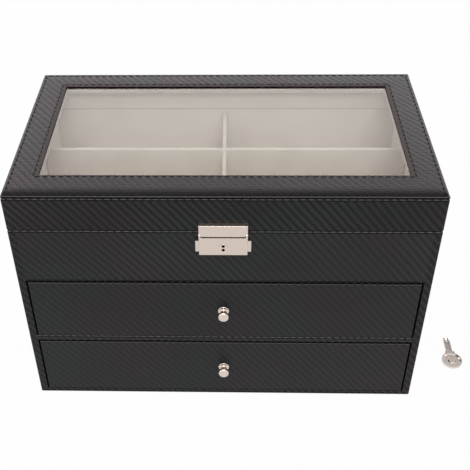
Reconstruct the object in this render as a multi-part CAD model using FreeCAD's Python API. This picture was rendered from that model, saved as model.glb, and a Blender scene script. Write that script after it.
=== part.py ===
import FreeCAD, Part
import os

# A storage box for spectacles: a divided tray under a lid with a glass window,
# and two divided drawers below it. Millimetres. X runs to the right, Y to the
# back and Z up. The origin is the middle of the underside of the box.

# Outside of the box.
box_width = 335.0
box_depth = 190.0
seam_height = 190.5
lid_height = 32.5
seam_gap = 0.3

# Boards, wrapped in leatherette.
side_thickness = 6.5
front_thickness = 6.0
back_thickness = 6.0
base_thickness = 4.7
shelf_thickness = 5.5
tray_floor_thickness = 4.0
felt_thickness = 0.8
felt_inset = 2.0
wrap_radius = 1.2
board_edge_radius = 0.8

# Drawer bays, one above the other, each as high as its drawer needs.
drawer_bay_height = 63.5

# Lining of the tray and the lid.
lining_thickness = 1.0
tray_pad_thickness = 2.0
rim_reveal = 0.4

# Dividers of the tray and the drawers, halved into each other.
divider_thickness = 3.6
divider_fit = 0.1
tray_divider_drop = 2.0
tray_back_row = 62.0

# Lid cover with its window, the pane under it and the frame that holds the pane.
cover_thickness = 2.0
cover_edge_radius = 0.9
cover_reveal_height = 1.1
cover_reveal_depth = 1.3
window_side_margin = 24.0
window_front_margin = 29.0
window_back_margin = 22.0
window_edge_radius = 0.8
glass_thickness = 1.5
glass_overlap = 8.0
glass_fit = 0.3
retainer_lip = 4.0

# Lid hinges on the back edge. Their heels meet when the lid is wide open.
lid_opening_angle = 100.0
hinge_offset = 100.0
hinge_length = 32.0
hinge_middle_knuckle = 10.6
hinge_barrel_radius = 2.0
hinge_pin_radius = 1.0
hinge_stand = 0.2
hinge_knuckle_gap = 0.2
hinge_leaf_thickness = 1.0
hinge_leaf_reach = 4.8
hinge_heel_reach = 6.5
hinge_heel_gap_angle = 2.0
hinge_recess_fit = 0.1
hinge_screw_offset = 10.0
hinge_screw_inset = 2.6
hinge_screw_radius = 0.8
hinge_screw_head_radius = 1.5
hinge_screw_head_depth = 0.6
hinge_screw_length = 8.0
running_fit = 0.05

# Lock on the front: a plate on the lid and a hinged flap that covers the strike.
lock_half_width = 18.9
lock_face_stand = 3.95
lock_sheet = 0.9
lock_wall = 0.8
lock_edge_radius = 0.4
plate_top_rise = 8.3
plate_relief = 0.4
hasp_axis_drop = 1.45
hasp_barrel_radius = 1.6
hasp_pin_radius = 0.7
hasp_knuckle_length = 1.6
hasp_knuckle_gap = 0.4
stud_offset = 12.0
stud_rise = 4.0
stud_radius = 1.0
stud_grip = 2.0
stud_head_radius = 2.0
stud_head_depth = 0.8
stud_boss_radius = 1.8
stud_fit = 0.1
flap_bottom_drop = 20.5
flap_rim_stand = 0.7

# Key cylinder in the flap, with its cam.
cylinder_drop = 13.3
cylinder_radius = 3.45
cylinder_proud = 0.15
cylinder_back_stand = 1.3
cylinder_boss_wall = 1.2
cylinder_boss_gap = 0.1
pin_hole_spacing = 3.6
pin_hole_radius = 1.3
pin_hole_depth = 2.4
cam_half_length = 4.6
cam_half_width = 1.2
cam_thickness = 0.5
cam_rivet_radius = 0.8
cam_rivet_reach = 0.1

# Press tabs at both sides of the flap, each with a claw beside its catch post.
tab_reach = 21.6
tab_height = 10.6
tab_drop = 12.3
tab_thickness = 1.6
tab_front_gap = 0.25
tab_fit = 0.15
tab_travel = 1.8
tab_flange_width = 1.1
tab_flange_lip = 0.7
tab_flange_gap = 0.2
tab_bar_height = 4.0
tab_bar_thickness = 0.7
claw_width = 1.6
claw_gap = 0.3
claw_height = 6.6
claw_depth = 2.0
claw_bar_drop = 13.0
arm_height = 1.9
arm_end = 6.8
spring_drop = 9.6
spring_radius = 0.9
spring_wall = 0.4
spring_seat_end = 6.2
spring_seat_width = 0.8
spring_seat_height = 3.0

# Strike plate on the body behind the flap.
strike_half_width = 16.5
strike_thickness = 0.5
strike_top_drop = 6.0
strike_height = 12.9
post_inner = 13.0
post_width = 2.0
post_stand = 1.9
post_height = 4.0
post_drop = 14.0
post_slot_fit = 0.5
strike_screw_offset = 9.0
strike_screw_rise = 1.6
strike_screw_radius = 0.6
strike_screw_head_radius = 1.2
strike_screw_head_depth = 0.3
strike_screw_length = 4.5

# Drawers.
drawer_side_gap = 1.3
drawer_top_gap = 0.8
drawer_lift = 0.4
drawer_rear_gap = 0.5
drawer_front_radius = 0.9
drawer_wall = 4.0
drawer_wall_height = 50.0
drawer_bottom_thickness = 3.0
drawer_lining = 0.8
drawer_pad_thickness = 1.5
drawer_divider_drop = 1.5

# Knobs, turned, each held by a screw from inside its drawer front.
knob_length = 10.0
knob_flange_radius = 4.7
knob_flange_thickness = 1.4
knob_neck_radius = 2.2
knob_head_radius = 4.8
knob_head_length = 5.6
knob_underside_length = 2.4
knob_crown_radius = 4.0
knob_crown_rise = 0.9
knob_underside_bulge_radius = 3.8
knob_underside_bulge_rise = 0.8
knob_shoulder_radius = 4.6
knob_shoulder_lift = 0.2
knob_screw_radius = 2.0
knob_screw_fit = 0.1
knob_screw_bite = 7.0
knob_screw_head_radius = 3.6
knob_screw_head_depth = 1.8

# Key, lying on the surface that the box stands on, to the right of the box.
key_x = 214.8
key_y = -45.5
key_bow_radius = 9.3
key_rim_width = 1.5
key_rim_height = 2.2
key_rim_slope = 0.5
key_dish_height = 1.3
key_dome_radius = 3.2
key_dome_height = 2.0
key_dome_slope = 0.6
key_shank_width = 6.0
key_shank_length = 15.8
key_shank_thickness = 1.8
key_shoulder_width = 9.0
key_shoulder_length = 2.0
key_prong_length = 3.4
key_prong_fit = 0.4
key_prong_root = 1.0
key_groove_width = 2.2
key_groove_length = 12.5
key_groove_depth = 0.5
key_groove_end_wall = 1.0
key_edge_radius = 0.4

# Places that follow from the sizes.
half_width = box_width / 2
front_y = -box_depth / 2
back_y = box_depth / 2
inner_half_width = half_width - side_thickness
inner_front_y = front_y + front_thickness
inner_back_y = back_y - back_thickness

base_top = felt_thickness + base_thickness
shelf_bottom = base_top + drawer_bay_height
shelf_top = shelf_bottom + shelf_thickness
fascia_bottom = shelf_top + drawer_bay_height
tray_floor_top = fascia_bottom + tray_floor_thickness
tray_pad_top = tray_floor_top + tray_pad_thickness
tray_lining_top = seam_height - rim_reveal
tray_divider_top = seam_height - tray_divider_drop
tray_half_width = inner_half_width - lining_thickness
tray_front_y = inner_front_y + lining_thickness
tray_back_y = inner_back_y - lining_thickness

lid_bottom = seam_height + seam_gap
lid_top = lid_bottom + lid_height
cover_bottom = lid_top - cover_thickness
glass_bottom = cover_bottom - glass_thickness
retainer_bottom = glass_bottom - retainer_lip
window_half_width = half_width - window_side_margin
window_front_y = front_y + window_front_margin
window_back_y = back_y - window_back_margin

hinge_axis_y = back_y + hinge_barrel_radius + hinge_stand
hinge_axis_z = seam_height + seam_gap / 2

hasp_axis_stand = lock_face_stand - hasp_barrel_radius
hasp_axis_z = seam_height - hasp_axis_drop
flap_top = hasp_axis_z - hasp_barrel_radius - hasp_knuckle_gap
flap_bottom = seam_height - flap_bottom_drop
cylinder_z = seam_height - cylinder_drop
cylinder_bore = cylinder_radius + running_fit
tab_z = seam_height - tab_drop
tab_front = lock_face_stand - lock_sheet - tab_front_gap
claw_outer = post_inner - claw_gap
claw_inner = claw_outer - claw_width
claw_bar_z = seam_height - claw_bar_drop
spring_z = seam_height - spring_drop
spring_stand = tab_front - claw_depth / 2

ALONG_X = FreeCAD.Vector(1, 0, 0)
OUTWARD = FreeCAD.Vector(0, -1, 0)
UP = FreeCAD.Vector(0, 0, 1)
SAME_PLACE = 1e-4
QUARTER_ARC_MIDDLE = 1 - 0.5 ** 0.5


def point(x, y, z):
    return FreeCAD.Vector(x, y, z)


def block(x_span, y_span, z_span):
    """A box between two values on each axis."""
    lows = [min(span) for span in (x_span, y_span, z_span)]
    sizes = [abs(span[1] - span[0]) for span in (x_span, y_span, z_span)]
    return Part.makeBox(*sizes, point(*lows))


def front_block(x_span, stand_span, z_span):
    """A box placed by how far it stands out of the front of the box."""
    return block(x_span, [front_y - stand for stand in stand_span], z_span)


def mirrored_span(span):
    return (-span[1], -span[0])


def both_sides(x_span):
    return (x_span, mirrored_span(x_span))


def rounded_block(x_span, y_span, z_span, radius):
    solid = block(x_span, y_span, z_span)
    return solid.makeFillet(radius, solid.Edges)


def edges_on(solid, x=None, y=None, z=None):
    """The straight edges whose two ends share the given coordinates."""
    wanted = [(index, value) for index, value in enumerate((x, y, z)) if value is not None]
    found = []
    for edge in solid.Edges:
        ends = [vertex.Point for vertex in edge.Vertexes]
        if len(ends) == 2 and all(abs(end[i] - value) < SAME_PLACE
                                  for end in ends for i, value in wanted):
            found.append(edge)
    return found


def rounded_edges(solid, radius, *places):
    edges = [edge for place in places for edge in edges_on(solid, **place)]
    return solid.makeFillet(radius, edges)


def rod_x(radius, x_span, y, z):
    low = min(x_span)
    return Part.makeCylinder(radius, abs(x_span[1] - x_span[0]), point(low, y, z), ALONG_X)


def rod_out(radius, stand_span, x, z):
    """A round rod square to the front, between two distances out of it."""
    low, high = min(stand_span), max(stand_span)
    return Part.makeCylinder(radius, high - low, point(x, front_y - low, z), OUTWARD)


def rod_up(radius, z_span, x, y):
    low = min(z_span)
    return Part.makeCylinder(radius, abs(z_span[1] - z_span[0]), point(x, y, low), UP)


def joined(shapes):
    return shapes[0].multiFuse(shapes[1:]).removeSplitter()


def save(node, *solids):
    """Writes one node; separate solids of one node stay separate."""
    shape = solids[0] if len(solids) == 1 else Part.makeCompound(list(solids))
    assert shape.isValid(), node
    shape.exportStep("parts/" + node + ".step")


def lining_strips(half, y_span, z_span, thickness):
    """Four strips that line the walls of a rectangular space."""
    front, back = y_span
    strips = [
        block((-half, half), (front, front + thickness), z_span),
        block((-half, half), (back - thickness, back), z_span),
    ]
    for x_span in both_sides((half - thickness, half)):
        strips.append(block(x_span, (front + thickness, back - thickness), z_span))
    return strips


def divider_set(half, y_span, z_span, cross_rows):
    """One long divider and the cross dividers, halved into each other."""
    low, high = z_span
    middle = (low + high) / 2
    slot_half = divider_thickness / 2 + divider_fit
    body_half = divider_thickness / 2
    ends = (y_span[0] + divider_fit, y_span[1] - divider_fit)
    long_divider = block((-body_half, body_half), ends, z_span)
    cross_dividers = []
    for row_y in cross_rows:
        slot = (row_y - slot_half, row_y + slot_half)
        long_divider = long_divider.cut(block((-body_half, body_half), slot, (low, middle + divider_fit)))
        cross = block((-half + divider_fit, half - divider_fit),
                      (row_y - body_half, row_y + body_half), z_span)
        cross_dividers.append(cross.cut(block((-slot_half, slot_half), slot, (middle, high))))
    return long_divider, cross_dividers


def tray_rows():
    """Middles of the two cross dividers: a deeper back row, then two equal rows."""
    back_row = tray_back_y - tray_back_row - divider_thickness / 2
    front_space = back_row - divider_thickness / 2 - tray_front_y
    front_row = tray_front_y + (front_space - divider_thickness) / 2 + divider_thickness / 2
    return front_row, back_row


def even_rows(y_span):
    """Middles of two cross dividers that make three equal rows."""
    row = (y_span[1] - y_span[0] - 2 * divider_thickness) / 3
    first = y_span[0] + row + divider_thickness / 2
    return first, first + row + divider_thickness


def hinge_places():
    return (-hinge_offset, hinge_offset)


def hinge_screw_places():
    return [(middle + side * hinge_screw_offset, back_y - hinge_screw_inset)
            for middle in hinge_places() for side in (-1, 1)]


def hinge_recesses(z_span):
    """Shallow recesses for the leaves in the edge of a back board."""
    half = hinge_length / 2 + hinge_recess_fit
    reach = back_y - hinge_leaf_reach - hinge_recess_fit
    return [block((middle - half, middle + half), (reach, back_y), z_span) for middle in hinge_places()]


def hinge_screw(x, y, face_z, way):
    """A countersunk screw whose head is flush with the leaf; way is 1 up and -1 down."""
    head = rod_up(hinge_screw_head_radius, (face_z, face_z + way * hinge_screw_head_depth), x, y)
    shank = rod_up(hinge_screw_radius, (face_z, face_z + way * hinge_screw_length), x, y)
    return joined([head, shank])


def hinge_leaf(middle, on_lid):
    """One leaf with its knuckles and the heel that stops the lid."""
    half = hinge_length / 2
    middle_half = hinge_middle_knuckle / 2
    way = 1 if on_lid else -1
    face_z = lid_bottom if on_lid else seam_height
    gap = hinge_knuckle_gap
    own = [(-middle_half, middle_half)] if on_lid else list(both_sides((middle_half + gap, half)))
    other = list(both_sides((middle_half, half))) if on_lid else [(-middle_half - gap, middle_half + gap)]

    plate_z = (face_z, face_z + way * hinge_leaf_thickness)
    leaf = block((middle - half, middle + half), (back_y - hinge_leaf_reach, hinge_axis_y), plate_z)
    for low, high in other:
        leaf = leaf.cut(block((middle + low, middle + high), (back_y - gap, hinge_axis_y), plate_z))

    pieces = [leaf]
    heel_z = (hinge_axis_z, hinge_axis_z + way * hinge_leaf_thickness)
    heel_root = hinge_axis_y + hinge_barrel_radius + gap
    heels = [block((middle - half, middle + half), (heel_root, hinge_axis_y + hinge_heel_reach), heel_z)]
    for low, high in own:
        span = (middle + low, middle + high)
        pieces.append(rod_x(hinge_barrel_radius, span, hinge_axis_y, hinge_axis_z))
        heels.append(block(span, (hinge_axis_y, heel_root), heel_z))
    heel = joined(heels)
    heel_angle = (lid_opening_angle + hinge_heel_gap_angle) / 2
    heel.rotate(point(0, hinge_axis_y, hinge_axis_z), ALONG_X, way * heel_angle)
    leaf = joined(pieces + [heel])

    bore = rod_x(hinge_pin_radius + running_fit, (middle - half, middle + half), hinge_axis_y, hinge_axis_z)
    leaf = leaf.cut(bore)
    for x, y in hinge_screw_places():
        if abs(x - middle) < half:
            leaf = leaf.cut(hinge_screw(x, y, face_z, way))
    return leaf


def make_carcass():
    full_z = (felt_thickness, seam_height)
    envelope = rounded_block((-half_width, half_width), (front_y, back_y), full_z, wrap_radius)

    for name, span in (("left_side_panel", (-half_width, -inner_half_width)),
                       ("right_side_panel", (inner_half_width, half_width))):
        save(name, block(span, (front_y, back_y), full_z).common(envelope))

    inside_x = (-inner_half_width, inner_half_width)
    back_panel = block(inside_x, (inner_back_y, back_y), full_z).common(envelope)
    leaf_z = (seam_height - hinge_leaf_thickness, seam_height)
    for recess in hinge_recesses(leaf_z):
        back_panel = back_panel.cut(recess)
    for x, y in hinge_screw_places():
        back_panel = back_panel.cut(hinge_screw(x, y, seam_height, -1))
    save("back_panel", back_panel)

    base = block(inside_x, (front_y, inner_back_y), (felt_thickness, base_top))
    base = rounded_edges(base, board_edge_radius, dict(y=front_y, z=base_top))
    save("base_panel", base.common(envelope))
    save("base_felt", block((-half_width + felt_inset, half_width - felt_inset),
                            (front_y + felt_inset, back_y - felt_inset), (0, felt_thickness)))

    shelf = block(inside_x, (front_y, inner_back_y), (shelf_bottom, shelf_top))
    save("drawer_shelf", rounded_edges(shelf, board_edge_radius, dict(y=front_y, z=shelf_bottom),
                                       dict(y=front_y, z=shelf_top)))

    fascia = block(inside_x, (front_y, inner_front_y), (fascia_bottom, seam_height))
    fascia = rounded_edges(fascia, board_edge_radius, dict(y=front_y, z=fascia_bottom))
    fascia = fascia.common(envelope)
    for x, z in strike_screw_places():
        fascia = fascia.cut(rod_out(strike_screw_radius, (strike_thickness, -strike_screw_length), x, z))
    save("front_fascia", fascia)


def make_tray():
    inside_x = (-inner_half_width, inner_half_width)
    inside_y = (inner_front_y, inner_back_y)
    save("tray_floor", block(inside_x, inside_y, (fascia_bottom, tray_floor_top)))
    save("tray_floor_pad", block(inside_x, inside_y, (tray_floor_top, tray_pad_top)))
    save("tray_wall_lining", *lining_strips(inner_half_width, inside_y, (tray_pad_top, tray_lining_top),
                                            lining_thickness))
    long_divider, cross_dividers = divider_set(tray_half_width, (tray_front_y, tray_back_y),
                                               (tray_pad_top, tray_divider_top), tray_rows())
    save("tray_long_divider", long_divider)
    save("tray_cross_dividers", *cross_dividers)


def stud_places():
    return [(side * stud_offset, seam_height + stud_rise) for side in (-1, 1)]


def make_stud(x, z):
    shank = rod_out(stud_radius, (stud_grip, -front_thickness), x, z)
    head = rod_out(stud_head_radius, (stud_head_depth - front_thickness, -front_thickness), x, z)
    return joined([shank, head])


def make_lid():
    wall_z = (lid_bottom, cover_bottom)
    envelope = rounded_block((-half_width, half_width), (front_y, back_y), wall_z, wrap_radius)
    for name, span in (("lid_left_wall", (-half_width, -inner_half_width)),
                       ("lid_right_wall", (inner_half_width, half_width))):
        save(name, block(span, (front_y, back_y), wall_z).common(envelope))

    inside_x = (-inner_half_width, inner_half_width)
    front_wall = block(inside_x, (front_y, inner_front_y), wall_z).common(envelope)
    for x, z in stud_places():
        front_wall = front_wall.cut(rod_out(stud_radius + stud_fit, (0, -front_thickness), x, z))
        head_z = stud_head_depth + stud_fit - front_thickness
        front_wall = front_wall.cut(rod_out(stud_head_radius + stud_fit, (head_z, -front_thickness), x, z))
    save("lid_front_wall", front_wall)

    back_wall = block(inside_x, (inner_back_y, back_y), wall_z).common(envelope)
    leaf_z = (lid_bottom, lid_bottom + hinge_leaf_thickness)
    for recess in hinge_recesses(leaf_z):
        back_wall = back_wall.cut(recess)
    for x, y in hinge_screw_places():
        back_wall = back_wall.cut(hinge_screw(x, y, lid_bottom, 1))
    save("lid_back_wall", back_wall)

    window_x = (-window_half_width, window_half_width)
    window_y = (window_front_y, window_back_y)
    cover = rounded_block((-half_width, half_width), (front_y, back_y), (cover_bottom, lid_top),
                          cover_edge_radius)
    reveal_z = (cover_bottom, cover_bottom + cover_reveal_height)
    reveal_edge = block((-half_width, half_width), (front_y, back_y), reveal_z).cut(
        block((-half_width + cover_reveal_depth, half_width - cover_reveal_depth),
              (front_y + cover_reveal_depth, back_y - cover_reveal_depth), reveal_z))
    cover = cover.cut(reveal_edge).cut(block(window_x, window_y, (cover_bottom, lid_top)))
    cover = rounded_edges(cover, window_edge_radius, dict(x=window_x[0], z=lid_top),
                          dict(x=window_x[1], z=lid_top), dict(y=window_y[0], z=lid_top),
                          dict(y=window_y[1], z=lid_top))
    save("lid_cover_frame", cover)

    glass_x = (window_x[0] - glass_overlap, window_x[1] + glass_overlap)
    glass_y = (window_y[0] - glass_overlap, window_y[1] + glass_overlap)
    save("glass_pane", block(glass_x, glass_y, (glass_bottom, cover_bottom)))

    retainer = block(inside_x, (inner_front_y, inner_back_y), (retainer_bottom, cover_bottom))
    retainer = retainer.cut(block(window_x, window_y, (retainer_bottom, cover_bottom)))
    retainer = retainer.cut(block((glass_x[0] - glass_fit, glass_x[1] + glass_fit),
                                  (glass_y[0] - glass_fit, glass_y[1] + glass_fit),
                                  (glass_bottom, cover_bottom)))
    save("glass_retainer", retainer)
    save("lid_wall_lining", *lining_strips(inner_half_width, (inner_front_y, inner_back_y),
                                           (lid_bottom + rim_reveal, retainer_bottom), lining_thickness))


def make_lid_hinges():
    save("hinge_body_leaves", *[hinge_leaf(middle, False) for middle in hinge_places()])
    save("hinge_lid_leaves", *[hinge_leaf(middle, True) for middle in hinge_places()])
    half = hinge_length / 2
    save("hinge_pins", *[rod_x(hinge_pin_radius, (middle - half, middle + half), hinge_axis_y, hinge_axis_z)
                         for middle in hinge_places()])
    save("hinge_body_screws", *[hinge_screw(x, y, seam_height, -1) for x, y in hinge_screw_places()])
    save("hinge_lid_screws", *[hinge_screw(x, y, lid_bottom, 1) for x, y in hinge_screw_places()])


def hasp_rod(radius, x_span):
    return rod_x(radius, x_span, front_y - hasp_axis_stand, hasp_axis_z)


def make_hasp_plate():
    plate_top = seam_height + plate_top_rise
    half = lock_half_width
    knuckle_x = half - hasp_knuckle_length
    plate = front_block((-half, half), (0, lock_face_stand), (hasp_axis_z, plate_top))
    face_y = front_y - lock_face_stand
    plate = rounded_edges(plate, lock_edge_radius, dict(x=-half, y=face_y), dict(x=half, y=face_y),
                          dict(y=face_y, z=plate_top))
    inside = (-half + lock_wall, half - lock_wall)
    plate = plate.cut(front_block(inside, (0, lock_face_stand - lock_sheet),
                                  (hasp_axis_z, plate_top - lock_wall)))
    bosses = [rod_out(stud_boss_radius, (0, lock_face_stand), x, z) for x, z in stud_places()]
    own = (-knuckle_x + hasp_knuckle_gap, knuckle_x - hasp_knuckle_gap)
    plate = joined([plate, hasp_rod(hasp_barrel_radius, own)] + bosses)
    plate = plate.cut(front_block((-half, half), (0, plate_relief), (flap_bottom, lid_bottom)))
    clear_top = hasp_axis_z + hasp_barrel_radius + hasp_knuckle_gap
    for span in both_sides((own[1], half)):
        plate = plate.cut(front_block(span, (0, lock_face_stand), (flap_bottom, clear_top)))
    plate = plate.cut(hasp_rod(hasp_pin_radius + running_fit, (-half, half)))
    for x, z in stud_places():
        plate = plate.cut(make_stud(x, z))
    save("hasp_plate", plate)
    save("hasp_studs", *[make_stud(x, z) for x, z in stud_places()])
    save("hasp_pin", hasp_rod(hasp_pin_radius, (-half, half)))


def make_flap():
    half = lock_half_width
    face_y = front_y - lock_face_stand
    inner_face = lock_face_stand - lock_sheet
    shell = front_block((-half, half), (flap_rim_stand, lock_face_stand), (flap_bottom, flap_top))
    shell = rounded_edges(shell, lock_edge_radius, dict(x=-half, y=face_y), dict(x=half, y=face_y),
                          dict(y=face_y, z=flap_bottom))
    inside = (-half + lock_wall, half - lock_wall)
    shell = shell.cut(front_block(inside, (flap_rim_stand, inner_face),
                                  (flap_bottom + lock_wall, flap_top - lock_wall)))
    boss_back = cylinder_back_stand + cylinder_boss_gap
    pieces = [shell, rod_out(cylinder_bore + cylinder_boss_wall, (boss_back, inner_face), 0, cylinder_z)]
    for span in both_sides((spring_seat_end - spring_seat_width, spring_seat_end)):
        seat_z = (spring_z - spring_seat_height / 2, spring_z + spring_seat_height / 2)
        pieces.append(front_block(span, (boss_back, inner_face), seat_z))
    for span in both_sides((half - hasp_knuckle_length, half)):
        pieces.append(hasp_rod(hasp_barrel_radius, span))
        pieces.append(front_block(span, (hasp_axis_stand, lock_face_stand),
                                  (flap_top - lock_wall, hasp_axis_z)))
    flap = joined(pieces)

    flap = flap.cut(hasp_rod(hasp_pin_radius + running_fit, (-half, half)))
    flap = flap.cut(rod_out(cylinder_bore, (boss_back, lock_face_stand), 0, cylinder_z))
    tab_z_span = (tab_z - tab_height / 2 - tab_fit, tab_z + tab_height / 2 + tab_fit)
    tab_stand = (tab_front - tab_thickness - tab_fit, tab_front + tab_fit)
    for span in both_sides((half - lock_wall, half)):
        flap = flap.cut(front_block(span, tab_stand, tab_z_span))
    post_outer = post_inner + post_width
    for span in both_sides((post_inner - post_slot_fit, post_outer + post_slot_fit)):
        flap = flap.cut(front_block(span, (flap_rim_stand, post_stand + post_slot_fit),
                                    (flap_bottom, flap_bottom + lock_wall)))
    save("hasp_flap", flap)


def make_key_cylinder():
    face = lock_face_stand + cylinder_proud
    plug = rod_out(cylinder_radius, (cylinder_back_stand, face), 0, cylinder_z)
    rivet_end = cylinder_back_stand - cam_thickness - cam_rivet_reach
    plug = joined([plug, rod_out(cam_rivet_radius, (rivet_end, cylinder_back_stand), 0, cylinder_z)])
    for way in (-1, 1):
        z = cylinder_z + way * pin_hole_spacing / 2
        plug = plug.cut(rod_out(pin_hole_radius, (face - pin_hole_depth, face), 0, z))
    save("key_cylinder", plug)

    cam_stand = (cylinder_back_stand - cam_thickness, cylinder_back_stand)
    cam = front_block((-cam_half_width, cam_half_width), cam_stand,
                      (cylinder_z - cam_half_length, cylinder_z + cam_half_length))
    cam = cam.common(rod_out(cam_half_length, cam_stand, 0, cylinder_z))
    save("lock_cam", cam.cut(rod_out(cam_rivet_radius, cam_stand, 0, cylinder_z)))


def press_tab(side):
    """Ear outside the flap, stop flange inside it, and a bar to the claw past the post."""
    tab_z_span = (tab_z - tab_height / 2, tab_z + tab_height / 2)
    flange_outer = lock_half_width - lock_wall - tab_flange_gap
    flange_inner = flange_outer - tab_flange_width
    flange_z = (tab_z_span[0] - tab_flange_lip, tab_z_span[1] + tab_flange_lip)
    bar_z = (claw_bar_z - tab_bar_height / 2, claw_bar_z + tab_bar_height / 2)
    claw_z = (bar_z[0], bar_z[0] + claw_height)
    arm_z = (cylinder_z - arm_height / 2, cylinder_z + arm_height / 2)
    pieces = [
        ((flange_inner, tab_reach), (tab_front - tab_thickness, tab_front), tab_z_span),
        ((flange_inner, flange_outer), (tab_front - tab_thickness, tab_front), flange_z),
        ((claw_inner, flange_inner), (tab_front - tab_bar_thickness, tab_front), bar_z),
        ((claw_inner, claw_outer), (tab_front - claw_depth, tab_front), claw_z),
        ((arm_end, claw_inner), (tab_front - claw_depth, tab_front), arm_z),
    ]
    solids = []
    for x_span, stand_span, z_span in pieces:
        span = x_span if side > 0 else mirrored_span(x_span)
        solids.append(front_block(span, stand_span, z_span))
    return joined(solids)


def press_tab_spring(side):
    span = (spring_seat_end, claw_inner) if side > 0 else (-claw_inner, -spring_seat_end)
    coil = rod_x(spring_radius, span, front_y - spring_stand, spring_z)
    return coil.cut(rod_x(spring_radius - spring_wall, span, front_y - spring_stand, spring_z))


def make_press_tabs():
    for name, side in (("left", -1), ("right", 1)):
        save("press_tab_" + name, press_tab(side))
        save("press_tab_spring_" + name, press_tab_spring(side))


def strike_screw_places():
    top = seam_height - strike_top_drop
    heights = (top - strike_height + strike_screw_rise, top - strike_screw_rise)
    return [(side * strike_screw_offset, z) for side in (-1, 1) for z in heights]


def strike_screw(x, z):
    head = rod_out(strike_screw_head_radius, (strike_thickness - strike_screw_head_depth, strike_thickness),
                   x, z)
    return joined([head, rod_out(strike_screw_radius, (strike_thickness, -strike_screw_length), x, z)])


def make_strike():
    top = seam_height - strike_top_drop
    plate = front_block((-strike_half_width, strike_half_width), (0, strike_thickness),
                        (top - strike_height, top))
    post_z = seam_height - post_drop
    posts = [front_block(span, (0, post_stand), (post_z - post_height / 2, post_z + post_height / 2))
             for span in both_sides((post_inner, post_inner + post_width))]
    plate = joined([plate] + posts)
    screws = [strike_screw(x, z) for x, z in strike_screw_places()]
    for screw in screws:
        plate = plate.cut(screw)
    save("strike_plate", plate)
    save("strike_screws", *screws)


def knob_profile():
    """Half section of the knob as a closed face: radius against distance from the drawer front."""
    flange_round = knob_flange_thickness / 2
    flange_top = knob_flange_radius - flange_round
    flare_drop = flange_top - knob_neck_radius
    head_start = knob_length - knob_head_length
    rim = head_start + knob_underside_length
    crown_start = knob_length - knob_crown_rise
    crown_sphere = (knob_crown_radius ** 2 + knob_crown_rise ** 2) / (2 * knob_crown_rise)
    crown_middle = knob_length - crown_sphere + (crown_sphere ** 2 - (knob_crown_radius / 2) ** 2) ** 0.5

    def at(radius, out):
        return point(radius, -out, 0)

    def line(start, end):
        return Part.LineSegment(start, end).toShape()

    def arc(start, middle, end):
        return Part.Arc(start, middle, end).toShape()

    flare_middle = at(knob_neck_radius + QUARTER_ARC_MIDDLE * flare_drop,
                      knob_flange_thickness + QUARTER_ARC_MIDDLE * flare_drop)
    neck_start = knob_flange_thickness + flare_drop
    underside_middle = at(knob_underside_bulge_radius, head_start + knob_underside_bulge_rise)
    edges = [
        line(at(0, 0), at(flange_top, 0)),
        arc(at(flange_top, 0), at(knob_flange_radius, flange_round), at(flange_top, knob_flange_thickness)),
        arc(at(flange_top, knob_flange_thickness), flare_middle, at(knob_neck_radius, neck_start)),
        line(at(knob_neck_radius, neck_start), at(knob_neck_radius, head_start)),
        arc(at(knob_neck_radius, head_start), underside_middle, at(knob_head_radius, rim)),
        arc(at(knob_head_radius, rim), at(knob_shoulder_radius, (rim + crown_start) / 2 + knob_shoulder_lift),
            at(knob_crown_radius, crown_start)),
        arc(at(knob_crown_radius, crown_start), at(knob_crown_radius / 2, crown_middle), at(0, knob_length)),
        line(at(0, knob_length), at(0, 0)),
    ]
    return Part.Face(Part.Wire(edges))


def knob_screw(z):
    head_back = -front_thickness
    head = rod_out(knob_screw_head_radius, (head_back, head_back + knob_screw_head_depth), 0, z)
    return joined([head, rod_out(knob_screw_radius, (head_back, knob_screw_bite), 0, z)])


def make_knob(prefix, z):
    knob = knob_profile().revolve(point(0, 0, 0), OUTWARD, 360)
    knob.translate(point(0, front_y, z))
    save(prefix + "_knob", knob.cut(rod_out(knob_screw_radius, (0, knob_screw_bite), 0, z)))
    save(prefix + "_knob_screw", knob_screw(z))


def make_drawer(prefix, bay_bottom):
    half = inner_half_width - drawer_side_gap
    bottom = bay_bottom + drawer_lift
    top = bay_bottom + drawer_bay_height - drawer_top_gap
    knob_z = (bottom + top) / 2
    rear_y = inner_back_y - drawer_rear_gap
    floor_top = bottom + drawer_bottom_thickness
    wall_z = (floor_top, floor_top + drawer_wall_height)

    front = rounded_block((-half, half), (front_y, inner_front_y), (bottom, top), drawer_front_radius)
    front = front.cut(rod_out(knob_screw_radius + knob_screw_fit, (0, -front_thickness), 0, knob_z))
    head_room = knob_screw_head_depth - front_thickness
    front = front.cut(rod_out(knob_screw_head_radius + knob_screw_fit, (head_room, -front_thickness),
                              0, knob_z))
    save(prefix + "_front", front)

    save(prefix + "_bottom", block((-half, half), (inner_front_y, rear_y), (bottom, floor_top)))
    save(prefix + "_left_side", block((-half, -half + drawer_wall), (inner_front_y, rear_y), wall_z))
    save(prefix + "_right_side", block((half - drawer_wall, half), (inner_front_y, rear_y), wall_z))
    inner_half = half - drawer_wall
    save(prefix + "_back", block((-inner_half, inner_half), (rear_y - drawer_wall, rear_y), wall_z))

    room_y = (inner_front_y, rear_y - drawer_wall)
    pad_top = floor_top + drawer_pad_thickness
    pad = block((-inner_half, inner_half), room_y, (floor_top, pad_top))
    strips = lining_strips(inner_half, room_y, (pad_top, wall_z[1]), drawer_lining)
    save(prefix + "_lining", pad, *strips)

    lined_y = (room_y[0] + drawer_lining, room_y[1] - drawer_lining)
    long_divider, cross_dividers = divider_set(inner_half - drawer_lining, lined_y,
                                               (pad_top, wall_z[1] - drawer_divider_drop),
                                               even_rows(lined_y))
    save(prefix + "_long_divider", long_divider)
    save(prefix + "_cross_dividers", *cross_dividers)
    make_knob(prefix, knob_z)


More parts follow.
